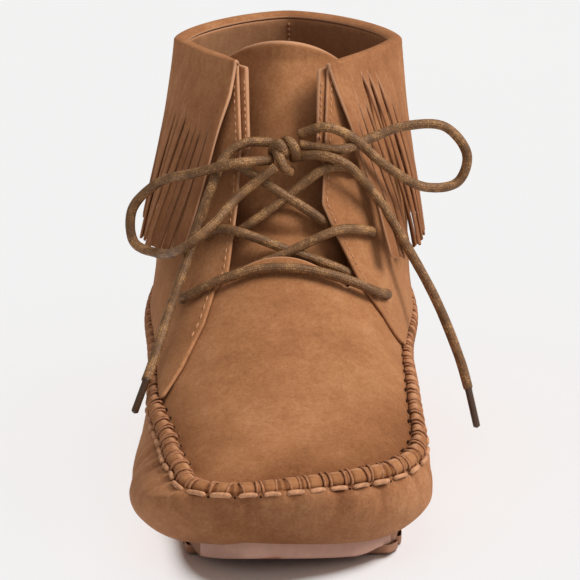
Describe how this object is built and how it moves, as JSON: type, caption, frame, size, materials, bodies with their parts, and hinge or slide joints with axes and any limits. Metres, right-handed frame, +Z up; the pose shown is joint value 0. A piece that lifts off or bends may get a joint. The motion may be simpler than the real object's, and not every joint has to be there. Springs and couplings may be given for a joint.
{
  "type": "moccasin boot",
  "caption": "Left suede ankle moccasin with a raised toe seam, laced throat tied in a bow, folded cuff cut into a fringe, and a low lugged sole.",
  "frame": {"origin": "under the middle of the boot's box, without its bow, on the floor", "axes": "+Z up, toe towards -Y, heel towards +Y, inner side of the foot towards -X"},
  "size_m": [0.1232, 0.2494, 0.146],
  "materials": {
    "sole": "matte, pink-tan edge",
    "insole": "matte",
    "suede": "soft napped suede, warm tan brown",
    "lace": "waxed round cord, olive brown",
    "aglet": "satin"
  },
  "bodies": {
    "root": {"outsole": "sole", "insole": "insole", "upper": "suede", "tongue": "suede", "moccasin_seam": "suede", "quarter_medial": "suede", "quarter_lateral": "suede", "fringe_cuff": "suede", "lace_bar": "lace", "lace_cross_lower": "lace", "lace_cross_upper": "lace", "lace_knot": "lace", "lace_loop_left": "lace", "lace_loop_right": "lace", "lace_end_left": "lace", "lace_end_right": "lace", "aglet_left": "aglet", "aglet_right": "aglet"}
  },
  "joints": []
}
